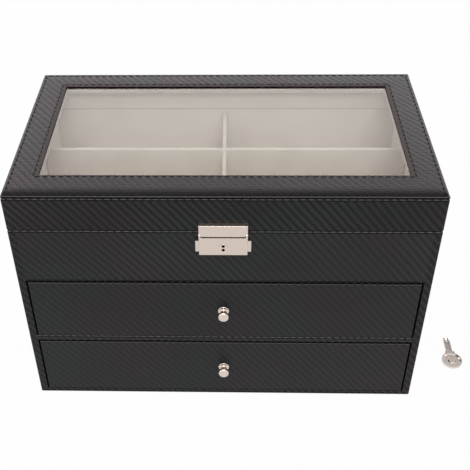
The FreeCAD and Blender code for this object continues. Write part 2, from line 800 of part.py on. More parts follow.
def make_key():
    """Round dished bow, shank with a long groove, and two prongs as far apart as the pin holes."""
    def at(radius, z):
        return point(radius, 0, z)

    dish_edge = key_bow_radius - key_rim_width
    outline = [at(0, 0), at(key_bow_radius, 0), at(key_bow_radius, key_rim_height),
               at(dish_edge, key_rim_height), at(dish_edge - key_rim_slope, key_dish_height),
               at(key_dome_radius + key_dome_slope, key_dish_height), at(key_dome_radius, key_dome_height),
               at(0, key_dome_height), at(0, 0)]
    bow = Part.Face(Part.makePolygon(outline)).revolve(point(0, 0, 0), UP, 360)

    shank_half = key_shank_width / 2
    shank_end = key_bow_radius + key_shank_length
    shank = block((-shank_half, shank_half), (dish_edge, shank_end), (0, key_shank_thickness))
    shank = rounded_edges(shank, key_edge_radius, dict(x=-shank_half, z=key_shank_thickness),
                          dict(x=shank_half, z=key_shank_thickness))
    shoulder_half = key_shoulder_width / 2
    shoulder = block((-shoulder_half, shoulder_half),
                     (dish_edge, key_bow_radius + key_shoulder_length), (0, key_shank_thickness))
    shoulder = rounded_edges(shoulder, 2 * key_edge_radius,
                             dict(x=-shoulder_half, y=key_bow_radius + key_shoulder_length),
                             dict(x=shoulder_half, y=key_bow_radius + key_shoulder_length))
    prong_radius = pin_hole_radius - key_prong_fit
    prongs = []
    for way in (-1, 1):
        x = way * pin_hole_spacing / 2
        root = point(x, shank_end - key_prong_root, prong_radius)
        prong = Part.makeCylinder(prong_radius, key_prong_length + key_prong_root, root, point(0, 1, 0))
        prongs.append(prong)
    key = joined([bow, shank, shoulder] + prongs)
    groove_half = key_groove_width / 2
    groove_end = shank_end - groove_half - key_groove_end_wall
    groove_z = (key_shank_thickness - key_groove_depth, key_shank_thickness)
    groove_ends = (groove_end - key_groove_length + key_groove_width, groove_end)
    groove = block((-groove_half, groove_half), groove_ends, groove_z)
    groove = joined([groove] + [rod_up(groove_half, groove_z, 0, y) for y in groove_ends])
    key = key.cut(groove)
    key.translate(point(key_x, key_y - key_shank_length / 2, 0))
    save("key", key)


os.makedirs("parts", exist_ok=True)
make_carcass()
make_tray()
make_lid()
make_lid_hinges()
make_hasp_plate()
make_flap()
make_key_cylinder()
make_press_tabs()
make_strike()
make_drawer("upper_drawer", shelf_top)
make_drawer("lower_drawer", base_top)
make_key()
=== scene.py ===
import math
import random

import bmesh
import bpy
from mathutils import Matrix, Vector


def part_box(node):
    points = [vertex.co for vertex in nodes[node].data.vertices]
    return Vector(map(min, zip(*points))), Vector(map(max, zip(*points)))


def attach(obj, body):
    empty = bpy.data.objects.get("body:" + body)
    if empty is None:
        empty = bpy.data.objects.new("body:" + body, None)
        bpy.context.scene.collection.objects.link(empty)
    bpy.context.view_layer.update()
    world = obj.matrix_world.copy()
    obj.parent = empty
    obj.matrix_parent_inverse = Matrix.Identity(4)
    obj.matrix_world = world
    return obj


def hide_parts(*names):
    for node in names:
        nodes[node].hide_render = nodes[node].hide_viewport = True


# The looks of a storage box for spectacles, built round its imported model.
# Metres, in the model's own frame: X to the right, Y to the back, Z up.

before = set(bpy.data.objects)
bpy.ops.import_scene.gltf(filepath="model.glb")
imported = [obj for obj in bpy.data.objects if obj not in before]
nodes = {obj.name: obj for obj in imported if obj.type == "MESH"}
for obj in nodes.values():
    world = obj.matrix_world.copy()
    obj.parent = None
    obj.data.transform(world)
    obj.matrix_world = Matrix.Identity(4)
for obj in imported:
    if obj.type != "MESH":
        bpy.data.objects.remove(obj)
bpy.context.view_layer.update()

MM = 0.001
MAKER_SEED = 7

# Stitching in the leatherette.
stitch_pitch = 6.1 * MM
stitch_length = 4.3 * MM
stitch_half_width = 0.55 * MM
stitch_half_height = 0.34 * MM
stitch_slant = math.radians(4)
stitch_slant_spread = (-0.03, 0.03)
stitch_length_spread = (0.95, 1.04)
stitch_sides = 8
stitch_rings = 5
cover_outer_inset = 2.9 * MM
cover_inner_side_inset = 20.4 * MM
cover_inner_front_inset = 26.5 * MM
cover_inner_back_inset = 19.0 * MM
edge_row_drop = 1.25 * MM
shelf_row_drop = 1.35 * MM
corner_clearance = 3.0 * MM
hinge_middle_x = 100.0 * MM
hinge_half_span = 17.0 * MM

# Velvet pieces.
velvet_edge_radius = 0.35 * MM
divider_edge_radius = 1.1 * MM
retainer_edge_radius = 0.5 * MM
edge_segments = 3
thinnest_share = 0.45
same_point_reach = 0.01 * MM
flat_turn = math.radians(1)
corner_turn = math.radians(30)
pad_edge_fall = 0.7 * MM
pad_fall_reach = 3.2 * MM
pad_mesh_step = 2.4 * MM
tray_lining_thickness = 1.0 * MM
drawer_lining_thickness = 0.8 * MM
drawer_pad_thickness = 1.5 * MM
lining_lip = 0.3 * MM

# The two pin holes of the key cylinder.
pin_hole_spacing = 3.6 * MM
pin_hole_radius = 1.3 * MM

# The leatherette, in millimetres, as the shaders work.
tow_width = 1.66
tow_height = 2.09
weave_depth = 0.07
cover_weave_depth = 0.091
grain_size = 0.45
grain_depth = 0.05
wander_size = 35.0
wander_reach = 1.2
patch_size = 55.0
fade_size = 90.0
channel_half_width = 0.75
channel_depth = 0.3
fold_half_width = 0.45
fold_core = 0.1
fold_inset = 0.4
drawer_fold_inset = 1.35
cover_fold_half_width = 0.72
cover_fold_core = 0.2
shadow_half_width = 0.65
shadow_core = 0.3
dome_reach = 15.0
dome_fall = 0.38

# The gap between the cover's overhang and the lid's walls, where no light gets in; painted shade makes it
# black there.
gap_reach = 0.5
cover_gap_height = 1.1
gap_margin_below = 0.1
gap_margin_above = 0.05

# The front of the lid is darker in the photograph. Only the finish darkens it here, as painted shade, not
# its form.
front_band_reach = 15.0
front_band_core = 2.0

# The leatherette's colours and gloss, and how strongly each thing shows in them.
# The tows' colours: the upright tows get the lighter ones, a painted sheen on the pressed weave, with
# patches of tone.
low_tow_stops = [(0.34, (0.0075, 0.0085, 0.0085)), (0.5, (0.008, 0.008, 0.0082)),
                 (0.66, (0.0105, 0.0072, 0.0088))]
top_tow_stops = [(0.34, (0.029, 0.031, 0.031)), (0.5, (0.031, 0.030, 0.031)),
                 (0.66, (0.036, 0.029, 0.033))]
# Black for painted shade in stitch channels and gaps, grey for painted highlights on the folds.
shade_black = (0.002, 0.002, 0.002)
highlight_grey = (0.17, 0.165, 0.165)
border_brown = (0.024, 0.013, 0.013)
wall_roughness = 0.44
cover_roughness = 0.35
border_roughness = 0.12
leatherette_ior = 1.5
tow_balance = 0.4
tow_gloss = 0.07
grain_gloss = 0.12
# How the grain breaks up the painted highlights, then how strong each painted shade and painted highlight
# is.
highlight_grain = 0.6
channel_shade_tone = 0.85
channel_shade = 0.45
cover_channel_shade = 0.15
shadow_shade = 0.92
cover_fold_highlight = 0.6
tow_shade = 0.08
front_band_shade = 0.8

# Easings: from and to which reading, and what comes out at each end.
fold_dashes = (-0.7, 0.0, 0.15, 0.8)
shadow_dashes = (-0.7, -0.1, 0.35, 1.0)
tow_fade = (0.3, 0.7, 0.55, 1.0)
facing_limit = 0.7

body_low, body_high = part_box("left_side_panel")[0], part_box("right_side_panel")[1]
lid_low, lid_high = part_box("lid_left_wall")[0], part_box("lid_right_wall")[1]
cover_low, cover_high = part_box("lid_cover_frame")
fascia_low, fascia_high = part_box("front_fascia")
shelf_low, shelf_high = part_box("drawer_shelf")
base_low, base_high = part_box("base_panel")

rim_row_z = body_high.z - edge_row_drop
lid_row_z = lid_high.z - edge_row_drop
fascia_row_z = fascia_low.z + edge_row_drop
shelf_row_z = shelf_high.z - shelf_row_drop
base_row_z = (base_low.z + base_high.z) / 2

outer_row = (cover_low + Vector((1, 1, 0)) * cover_outer_inset,
             cover_high - Vector((1, 1, 0)) * cover_outer_inset)
inner_row = (cover_low + Vector((cover_inner_side_inset, cover_inner_front_inset, 0)),
             cover_high - Vector((cover_inner_side_inset, cover_inner_back_inset, 0)))


class Reading:
    """A value on its way through a shader, so that shader sums read as plain ones."""

    def __init__(self, finish, socket):
        self.finish = finish
        self.socket = socket

    def maths(self, operation, *values):
        return self.finish.add("Math", {"operation": operation}, dict(enumerate(values)))

    def __add__(self, other):
        return self.maths("ADD", self, other)

    def __radd__(self, other):
        return self.maths("ADD", other, self)

    def __sub__(self, other):
        return self.maths("SUBTRACT", self, other)

    def __rsub__(self, other):
        return self.maths("SUBTRACT", other, self)

    def __mul__(self, other):
        return self.maths("MULTIPLY", self, other)

    def __rmul__(self, other):
        return self.maths("MULTIPLY", other, self)

    def __truediv__(self, other):
        return self.maths("DIVIDE", self, other)

    def __mod__(self, other):
        return self.maths("FLOORED_MODULO", self, other)

    def __lt__(self, other):
        return self.maths("LESS_THAN", self, other)

    def __gt__(self, other):
        return self.maths("GREATER_THAN", self, other)

    def __abs__(self):
        return self.maths("ABSOLUTE", self)

    def __floor__(self):
        return self.maths("FLOOR", self)

    def power(self, exponent):
        return self.maths("POWER", self, exponent)

    def wave(self):
        return self.maths("SINE", self)


class Finish:
    """A material or a world, made of nodes."""

    def __init__(self, name, constants=None, world=False):
        holder = bpy.data.worlds if world else bpy.data.materials
        self.block = holder.new(name)
        self.block.use_nodes = True
        self.tree = self.block.node_tree
        self.shader = None if world else self.tree.nodes["Principled BSDF"]
        for socket, value in (constants or {}).items():
            self.shader.inputs[socket].default_value = value

    def add(self, kind, settings=None, values=None, output=0):
        """Adds a node: its settings first, then the values or links of its sockets."""
        node = self.tree.nodes.new("ShaderNode" + kind)
        for name, setting in (settings or {}).items():
            if name == "stops":
                self.set_stops(node.color_ramp.elements, setting)
            else:
                setattr(node, name, setting)
        for socket, value in (values or {}).items():
            self.feed(node.inputs[socket], value)
        return Reading(self, node.outputs[output])

    def set_stops(self, elements, stops):
        while len(elements) < len(stops):
            elements.new(1.0)
        for element, (place, colour) in zip(elements, stops):
            element.position = place
            element.color = (*colour, 1.0)

    def feed(self, socket, value):
        if isinstance(value, Reading):
            self.tree.links.new(value.socket, socket)
        elif socket.type == "RGBA" and len(value) == 3:
            socket.default_value = (*value, 1.0)
        else:
            socket.default_value = value

    def shade(self, **values):
        """Feeds the principled shader: base_color means its socket Base Color."""
        for name, value in values.items():
            self.feed(self.shader.inputs[name.replace("_", " ").title()], value)

    def place(self):
        """The point's place on the piece, in millimetres."""
        metres = self.add("TexCoord", output="Object")
        return self.add("VectorMath", {"operation": "SCALE"}, {0: metres, "Scale": 1 / MM})

    def split(self, vector):
        return [self.add("SeparateXYZ", values={0: vector}, output=axis) for axis in range(3)]

    def joined(self, x, y, z):
        return self.add("CombineXYZ", values={0: x, 1: y, 2: z})

    def noise(self, vector, size, detail=2.0, roughness=0.5):
        """Even noise from 0 to 1 whose spots are about size across."""
        return self.add("TexNoise", {}, {"Vector": vector, "Scale": 1 / size,
                                         "Detail": detail, "Roughness": roughness})

    def eased(self, value, low, high, start=0.0, end=1.0):
        settings = {"interpolation_type": "SMOOTHSTEP"}
        return self.add("MapRange", settings, {"Value": value, "From Min": low, "From Max": high,
                                               "To Min": start, "To Max": end})

    def larger(self, first, second):
        return self.add("Math", {"operation": "MAXIMUM"}, {0: first, 1: second})

    def colours(self, share, first, second):
        return self.add("Mix", {"data_type": "RGBA"}, {0: share, 6: first, 7: second}, output=2)

    def bump(self, height):
        """Height is in millimetres."""
        normal = self.add("Bump", {}, {"Height": height, "Distance": MM})
        self.feed(self.shader.inputs["Normal"], normal)

    def own(self):
        """What the principled shader gives."""
        return Reading(self, self.shader.outputs[0])

    def show(self, first, second, share):
        """Shows two shaders on the surface; share is the second one's part."""
        mixed = self.add("MixShader", {}, {0: share, 1: first, 2: second})
        self.feed(self.tree.nodes["Material Output"].inputs["Surface"], mixed)


def weave_place(finish):
    """Across and up on whichever way a face looks: front, side or top."""
    x, y, z = finish.split(finish.place())
    looks = finish.split(finish.add("TexCoord", output="Normal"))
    sideways, upwards = abs(looks[0]) > facing_limit, abs(looks[2]) > facing_limit
    across = x + (y - x) * sideways
    up = z + (y - z) * upwards
    return across, up, (x, y, z)


def twill(finish, across, up):
    """Two-by-two twill: each tow's height, and 1 where the upright tow lies on top."""
    column, row = math.floor(across / tow_width), math.floor(up / tow_height)
    step = (column + row) % 4.0
    upright = step < 1.5
    part_across, part_up = across / tow_width - column, up / tow_height - row
    sides = part_up + (part_across - part_up) * upright
    along_upright = (step + part_up) * 0.5
    along_level = (step - 2.0 + part_across) * 0.5
    along = along_level + (along_upright - along_level) * upright
    crown = 1.0 - (sides * 2.0 - 1.0).power(2.0)
    ends = 1.0 - (along * 2.0 - 1.0).power(4.0)
    return crown * ends, upright


def outline_distance(finish, x, y, row):
    """How far a point is from a rectangle's outline, in millimetres."""
    low, high = row[0] / MM, row[1] / MM
    from_x = abs(x - (low.x + high.x) / 2) - (high.x - low.x) / 2
    from_y = abs(y - (low.y + high.y) / 2) - (high.y - low.y) / 2
    return finish.larger(from_x, from_y)


def sewn_channel(finish, place, level_rows, outline_rows):
    """1 at the middle of a row of stitches, 0 beside it."""
    x, y, z = place
    channel = 0.0
    for row_z in level_rows:
        distance = abs(z - row_z / MM)
        channel = finish.larger(channel, finish.eased(distance, channel_half_width, 0.0))
    for row in outline_rows:
        distance = abs(outline_distance(finish, x, y, row))
        channel = finish.larger(channel, finish.eased(distance, channel_half_width, 0.0))
    return channel


def pulled_lines(finish, place, level_folds, level_shadows):
    """The pale folds and the dark gaps along the boards' edges, as painted highlight and painted shadow,
    dashed where the stitches pull them.
    """
    x, y, z = place
    pull = ((x + y) * (2 * math.pi * MM / stitch_pitch)).wave()
    fold = shadow = 0.0
    for fold_z in level_folds:
        pale = finish.eased(abs(z - fold_z / MM), fold_half_width, fold_core)
        fold = finish.larger(fold, pale * finish.eased(pull, *fold_dashes))
    for shadow_z, dashed in level_shadows:
        dark = finish.eased(abs(z - shadow_z / MM), shadow_half_width, shadow_core)
        if dashed:
            dark = dark * finish.eased(pull, *shadow_dashes)
        shadow = finish.larger(shadow, dark)
    return fold, shadow


def gap_shade(z, cover_distance):
    """1 inside the narrow gap between the cover's overhang and the lid's walls, where shade is painted."""
    above = z > cover_low.z / MM - gap_margin_below
    below = z < cover_low.z / MM + cover_gap_height + gap_margin_above
    return above * below * (cover_distance < -gap_reach)


def leatherette(name, gloss, contrast, level_rows=(), outline_rows=(), plain_inside=None,
                level_folds=(), level_shadows=(), domed=False, gloss_tint=(1.0, 1.0, 1.0)):
    """Charcoal leatherette with a woven press, sunk along its stitches with painted shade, and painted
    highlights on its folds.
    """
    finish = Finish(name, {"Specular IOR Level": gloss, "IOR": leatherette_ior,
                           "Specular Tint": (*gloss_tint, 1.0)})
    across, up, (x, y, z) = weave_place(finish)
    place = finish.place()
    wander = (finish.noise(place, wander_size) - 0.5) * wander_reach
    height, upright = twill(finish, across + wander, up + wander)
    woven = 1.0 if plain_inside is None else outline_distance(finish, x, y, plain_inside) > 0.0
    height, upright, bare = height * woven, upright * woven, 1.0 - woven
    channel = sewn_channel(finish, (x, y, z), level_rows, outline_rows)
    fold, shadow = pulled_lines(finish, (x, y, z), level_folds, level_shadows)
    cover_distance = outline_distance(finish, x, y, (cover_low, cover_high))
    depth, dome, roughness, channel_share = weave_depth, 0.0, wall_roughness, channel_shade
    # Painted shade, shown by an unlit black shader: in the gap under the cover, along the boards' gaps and
    # in the stitch channels.
    painted_shade = finish.larger(gap_shade(z, cover_distance), shadow * shadow_shade)
    if domed:
        depth, roughness, channel_share = cover_weave_depth, cover_roughness, cover_channel_shade
        dome = finish.larger(cover_distance / dome_reach + 1.0, 0.0).power(2.0) * dome_fall
        # On the cover: a painted highlight along its rounded edge, and painted shade on the level tows and
        # across the front band, but not on that highlight.
        from_edge = abs(cover_distance + 2 * fold_inset)
        fold = finish.eased(from_edge, cover_fold_half_width, cover_fold_core) * cover_fold_highlight
        from_front = y - cover_low.y / MM
        front_band = finish.eased(from_front, front_band_reach, front_band_core, 0.0, front_band_shade)
        painted_shade = finish.larger(painted_shade, (1.0 - upright) * woven * tow_shade)
        painted_shade = finish.larger(painted_shade, front_band * (1.0 - fold))
    painted_shade = finish.larger(painted_shade, channel * channel_share)

    grain = finish.noise(place, grain_size, detail=3.0)
    patches = finish.noise(place, patch_size, detail=1.0)
    fade = finish.eased(finish.noise(place, fade_size, detail=1.0), *tow_fade)
    low_tows = finish.add("ValToRGB", {"stops": low_tow_stops}, {0: patches})
    top_tows = finish.add("ValToRGB", {"stops": top_tow_stops}, {0: patches})
    # The upright tows take the lighter colours: painted sheen on the pressed weave.
    top_share = (upright * fade - tow_balance) * contrast + tow_balance
    colour = finish.colours(top_share, low_tows, top_tows)
    # Painted shade in the stitch channels, then painted highlights on the folds.
    colour = finish.colours(channel * channel_shade_tone, colour, shade_black)
    colour = finish.colours(fold * (grain * highlight_grain + (1.0 - highlight_grain)), colour, highlight_grey)
    finish.shade(base_color=finish.colours(bare * (1.0 - channel), colour, border_brown))
    roughness = roughness - upright * tow_gloss + (grain - 0.5) * grain_gloss
    finish.shade(roughness=roughness + bare * border_roughness)
    finish.bump(height * depth + grain * grain_depth - channel * channel_depth - dome)
    # The unlit black that shows the painted shade.
    unlit = finish.add("BsdfDiffuse", {}, {"Color": shade_black})
    finish.show(finish.own(), unlit, painted_shade)
    return finish.block


def velvet(name, colour, deep):
    """Short pile: soft mottling, brushed patches and a pale sheen at grazing angles."""
    pile_size, brushed_size, lump_size = 0.35, 28.0, 6.0
    pile_depth, lump_depth = 0.05, 0.1
    finish = Finish(name, {"Sheen Weight": 0.35, "Sheen Roughness": 0.45, "Specular IOR Level": 0.15,
                           "Sheen Tint": (1.0, 0.97, 0.94, 1.0)})
    place = finish.place()
    pile = finish.noise(place, pile_size, detail=3.0, roughness=0.7)
    brushed = finish.noise(place, brushed_size, detail=2.0)
    share = finish.eased(pile * 0.4 + brushed * 0.6, 0.3, 0.62)
    finish.shade(base_color=finish.colours(share, deep, colour))
    finish.shade(roughness=0.92 - brushed * 0.12)
    finish.bump(pile * pile_depth + finish.noise(place, lump_size) * lump_depth)
    return finish.block


def darker(colour, share):
    return [part * share for part in colour]


def bored(finish, place, bores):
    """1 inside the bores, where shade is painted: behind the face, and within each bore's radius of its
    axis.
    """
    x, y, z = place
    rim, skin = 0.05, 0.15
    inside = 0.0
    for middle, radius in bores:
        from_axis = ((x - middle.x / MM).power(2.0) + (z - middle.z / MM).power(2.0)).power(0.5)
        behind_face = y > middle.y / MM + skin
        inside = finish.larger(inside, (from_axis < radius / MM + rim) * behind_face)
    return inside


def brushed_nickel(name, colour, roughness, lines, bores=()):
    """Nickel plate brushed along X; lines is how deep the brushing shows. Bores get painted shade inside.
    """
    line_stretch, line_squeeze, line_size, touch_size = 0.05, 2.2, 0.35, 9.0
    # The painted shade inside the bores.
    bore_shade_black = (0.004, 0.004, 0.004)
    finish = Finish(name, {"Metallic": 1.0})
    x, y, z = finish.split(finish.place())
    stretched = finish.joined(x * line_stretch, y * line_squeeze, z * line_squeeze)
    brushing = finish.noise(stretched, line_size, detail=3.0, roughness=0.65)
    handling = finish.noise(finish.place(), touch_size, detail=3.0)
    plate = finish.colours(brushing * 0.6 + handling * 0.4, darker(colour, 0.9), colour)
    inside = bored(finish, (x, y, z), bores)
    finish.shade(base_color=finish.colours(inside, plate, bore_shade_black))
    finish.shade(roughness=roughness + (brushing - 0.5) * 0.16 + (handling - 0.5) * 0.06 + inside * 0.5)
    finish.bump(brushing * lines)
    return finish.block


def polished_nickel(name, colour):
    """Bright plate with faint haze and hair scratches."""
    haze_size, scratch_size, scratch_depth = 5.0, 0.4, 0.004
    finish = Finish(name, {"Metallic": 1.0})
    place = finish.place()
    haze = finish.noise(place, haze_size, detail=3.0)
    x, y, z = finish.split(place)
    scratches = finish.noise(finish.joined(x * 3.0, y * 0.3, z * 3.0), scratch_size, detail=2.0)
    finish.shade(base_color=finish.colours(haze, darker(colour, 0.93), colour))
    finish.shade(roughness=0.1 + haze * 0.08 + finish.eased(scratches, 0.62, 0.75) * 0.1)
    finish.bump(scratches * scratch_depth)
    return finish.block


def zinc_plate(name, colour):
    """Bright zinc with its crystalline mottle."""
    crystal_size, dimple_size, dimple_depth = 1.6, 0.8, 0.01
    finish = Finish(name, {"Metallic": 1.0})
    cells = finish.add("TexVoronoi", {"feature": "F1"},
                       {"Vector": finish.place(), "Scale": 1 / crystal_size}, output="Color")
    shade = finish.split(cells)[0]
    finish.shade(base_color=finish.colours(shade, darker(colour, 0.78), colour))
    finish.shade(roughness=0.28 + shade * 0.12)
    finish.bump(finish.noise(finish.place(), dimple_size) * dimple_depth)
    return finish.block


def fibre_sheet(name, colour, fibre_size, depth, roughness):
    """Paper or felt: short matted fibres."""
    fibre_stretch = 0.3
    finish = Finish(name, {"Specular IOR Level": 0.25})
    x, y, z = finish.split(finish.place())
    one_way = finish.noise(finish.joined(x * fibre_stretch, y, z), fibre_size, detail=3.0, roughness=0.7)
    other_way = finish.noise(finish.joined(x, y * fibre_stretch, z), fibre_size, detail=3.0,
                             roughness=0.7)
    fibres = finish.larger(one_way, other_way)
    lighter = [part * 1.6 + 0.004 for part in colour]
    finish.shade(base_color=finish.colours(finish.eased(fibres, 0.45, 0.75), colour, lighter))
    finish.shade(roughness=roughness + (fibres - 0.5) * 0.1)
    finish.bump(fibres * depth)
    return finish.block


def thread(name):
    """Twisted black thread."""
    twist_pitch, twist_depth = 0.55, 0.06
    hollow, crest = (0.002, 0.002, 0.002), (0.008, 0.008, 0.008)
    finish = Finish(name, {"Specular IOR Level": 0.15})
    x, y, z = finish.split(finish.place())
    twist = ((x + y + z * 1.4) * (2 * math.pi / twist_pitch)).wave() * 0.5 + 0.5
    # The twist's hollows get painted shade and its crests a painted highlight.
    finish.shade(base_color=finish.colours(twist, hollow, crest))
    finish.shade(roughness=0.6 - twist * 0.1)
    finish.bump(twist * twist_depth)
    return finish.block


def window_glass(name):
    """Clear glass: what lies behind shows, with the reflection that its angle gives."""
    smudge_size, straight_gloss = 40.0, 0.04
    finish = Finish(name, {"Metallic": 1.0, "Base Color": (0.98, 0.99, 0.985, 1.0)})
    smudges = finish.noise(finish.place(), smudge_size, detail=3.0)
    finish.shade(roughness=0.02 + smudges * 0.03)
    clear = finish.add("BsdfTransparent", {}, {"Color": (0.965, 0.975, 0.97)})
    facing = finish.add("LayerWeight", {}, {"Blend": 0.5}, output="Facing")
    share = straight_gloss + facing.power(5.0) * (1.0 - straight_gloss)
    finish.show(clear, finish.own(), share)
    return finish.block


def ray(finish, kind):
    return finish.add("LightPath", output=kind)


def white_stage(name, seen_share):
    """White that stays white to the camera and in reflections, and keeps a soft shadow."""
    speck_size = 30.0
    finish = Finish(name, {"Roughness": 0.9, "Specular IOR Level": 0.0})
    speck = finish.noise(finish.place(), speck_size)
    finish.shade(base_color=finish.colours(speck, (0.86, 0.86, 0.86), (0.88, 0.88, 0.88)))
    seen = finish.larger(ray(finish, "Is Camera Ray"),
                         finish.larger(ray(finish, "Is Glossy Ray"), ray(finish, "Is Transmission Ray")))
    glow = finish.add("Emission", {}, {"Color": (1.0, 1.0, 1.0), "Strength": 1.0})
    finish.show(finish.own(), glow, seen * seen_share)
    return finish.block


def studio_world(ambient):
    """White to the camera and soft on surfaces. Glossy pieces see a dark and a bright band behind the box,
    set to match the sheen on the lid in the photograph."""
    finish = Finish("studio_white", world=True)
    seen = finish.larger(ray(finish, "Is Camera Ray"), ray(finish, "Is Transmission Ray"))
    mirrored = ray(finish, "Is Glossy Ray")
    background = finish.tree.nodes["Background"]
    background.inputs["Color"].default_value = (1.0, 1.0, 1.0, 1.0)
    _, y, z = finish.split(finish.add("TexCoord", output="Generated"))
    behind = finish.eased(y, *behind_the_box)
    banded = finish.eased(z, *low_bright_band) + finish.eased(z, *high_sky)
    mirrored_light = 1.0 + (banded - 1.0) * behind
    strength = ambient + seen * (1.0 - ambient) + mirrored * (mirrored_light - ambient)
    finish.feed(background.inputs["Strength"], strength)
    return finish.block


def piece(name, mesh_build, body, finish, replaced=()):
    """Makes an object of a bmesh, gives it its finish and lets it ride on a body."""
    mesh = bpy.data.meshes.new(name)
    mesh_build.to_mesh(mesh)
    mesh_build.free()
    made = bpy.data.objects.new(name, mesh)
    bpy.context.scene.collection.objects.link(made)
    mesh.materials.append(finish)
    for face in mesh.polygons:
        face.use_smooth = True
    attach(made, body)
    if replaced:
        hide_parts(*replaced)
    return made


def soft_block(build, low, high, radius):
    """Adds a block with rounded edges to a bmesh."""
    size = [high[axis] - low[axis] for axis in range(3)]
    middle = [(high[axis] + low[axis]) / 2 for axis in range(3)]
    block = bmesh.ops.create_cube(build, size=1.0)["verts"]
    bmesh.ops.scale(build, vec=size, verts=block)
    bmesh.ops.translate(build, vec=middle, verts=block)
    edges = list({edge for vertex in block for edge in vertex.link_edges})
    bmesh.ops.bevel(build, geom=edges, offset=min(radius, min(size) * thinnest_share),
                    segments=edge_segments, profile=0.5, affect="EDGES", material=-1)


def wall_lining(name, low, high, thickness, body, finish, replaced):
    """Four velvet-covered strips round the inside of a rectangular space."""
    build = bmesh.new()
    for front, back in ((low.y, low.y + thickness), (high.y - thickness, high.y)):
        soft_block(build, (low.x, front, low.z), (high.x, back, high.z), velvet_edge_radius)
    for left, right in ((low.x, low.x + thickness), (high.x - thickness, high.x)):
        soft_block(build, (left, low.y + thickness, low.z), (right, high.y - thickness, high.z),
                   velvet_edge_radius)
    return piece(name, build, body, finish, replaced)


def cross_rows(node):
    """The middles of the two cross dividers, read from the ends of their solids."""
    places = sorted({round(vertex.co.y, 5) for vertex in nodes[node].data.vertices})
    low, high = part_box(node)
    gap = max(range(len(places) - 1), key=lambda index: places[index + 1] - places[index])
    return (low.y + places[gap]) / 2, (places[gap + 1] + high.y) / 2


def dividers(prefix, body, sink, finish):
    """A long divider and, on each side of it, the arms of the cross dividers."""
    long_low, long_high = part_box(prefix + "_long_divider")
    cross_low, cross_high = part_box(prefix + "_cross_dividers")
    build = bmesh.new()
    soft_block(build, (long_low.x, long_low.y, long_low.z - sink), long_high, divider_edge_radius)
    piece(prefix + "_long_divider_velvet", build, body, finish,
          [prefix + "_long_divider"])
    half = (long_high.x - long_low.x) / 2
    build = bmesh.new()
    for row in cross_rows(prefix + "_cross_dividers"):
        for left, right in ((cross_low.x, long_low.x + divider_edge_radius),
                            (long_high.x - divider_edge_radius, cross_high.x)):
            soft_block(build, (left, row - half, cross_low.z - sink), (right, row + half, cross_high.z),
                       divider_edge_radius)
    piece(prefix + "_cross_dividers_velvet", build, body, finish,
          [prefix + "_cross_dividers"])


def crowned_pad(name, low, high, divider_prefix, edge_inset, body, finish, replaced):
    """A velvet pad that falls a little towards the walls and under the dividers."""
    long_low, long_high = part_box(divider_prefix + "_long_divider")
    half = (long_high.x - long_low.x) / 2
    rows = cross_rows(divider_prefix + "_cross_dividers")
    build = bmesh.new()
    counts = [max(2, round((high[axis] - low[axis]) / pad_mesh_step)) for axis in range(2)]
    bmesh.ops.create_grid(build, x_segments=counts[0], y_segments=counts[1], size=0.5)
    bmesh.ops.scale(build, vec=(high.x - low.x, high.y - low.y, 1.0), verts=build.verts)
    middle = ((high.x + low.x) / 2, (high.y + low.y) / 2, high.z)
    bmesh.ops.translate(build, vec=middle, verts=build.verts)
    top = list(build.verts)
    bottom = bmesh.ops.extrude_face_region(build, geom=list(build.faces))["geom"]
    lowered = [vertex for vertex in bottom if isinstance(vertex, bmesh.types.BMVert)]
    bmesh.ops.translate(build, vec=(0, 0, low.z - high.z), verts=lowered)
    for vertex in top:
        x, y = vertex.co.x, vertex.co.y
        reach = min(x - low.x - edge_inset, high.x - edge_inset - x, y - low.y - edge_inset,
                    high.y - edge_inset - y, abs(x) - half, *[abs(y - row) - half for row in rows])
        fall = math.exp(-max(reach, 0.0) / pad_fall_reach)
        vertex.co.z -= pad_edge_fall * fall
    bmesh.ops.recalc_face_normals(build, faces=build.faces)
    made = piece(name, build, body, finish, replaced)
    return made


def softened_copy(node, name, radius, body, finish):
    """The node's own shape with soft edges."""
    build = bmesh.new()
    build.from_mesh(nodes[node].data)
    bmesh.ops.remove_doubles(build, verts=build.verts, dist=same_point_reach)
    bmesh.ops.dissolve_limit(build, angle_limit=flat_turn, verts=build.verts, edges=build.edges)
    corners = [edge for edge in build.edges if edge.calc_face_angle(0.0) > corner_turn]
    bmesh.ops.bevel(build, geom=corners, offset=radius, segments=edge_segments, profile=0.5,
                    affect="EDGES", clamp_overlap=True, material=-1)
    bmesh.ops.recalc_face_normals(build, faces=build.faces)
    return piece(name, build, body, finish, [node])


def stitch(build, middle, along, out, chance):
    """One stitch: a short length of thread that dives into the leatherette at both ends."""
    side = out.cross(along)
    turn = Matrix.Rotation(stitch_slant + chance.uniform(*stitch_slant_spread), 3, out)
    axes = Matrix((turn @ along, turn @ side, out)).transposed().to_4x4()
    length = stitch_length * chance.uniform(*stitch_length_spread)
    size = Matrix.Diagonal((length / 2, stitch_half_width, stitch_half_height, 1.0))
    place = Matrix.Translation(middle) @ axes @ size
    bmesh.ops.create_uvsphere(build, u_segments=stitch_sides, v_segments=stitch_rings, radius=1.0,
                              matrix=place)


def stitch_run(build, start, end, out, chance):
    """Evenly spaced stitches between two points; they sit half sunk in the surface."""
    run = end - start
    count = max(1, int(run.length / stitch_pitch))
    step = run / count
    along = run.normalized()
    thread_run = bmesh.new()
    for index in range(count):
        stitch(thread_run, start + step * (index + 0.5), along, out, chance)
    sewn = bpy.data.meshes.new("thread_run")
    thread_run.to_mesh(sewn)
    thread_run.free()
    build.from_mesh(sewn)
    bpy.data.meshes.remove(sewn)


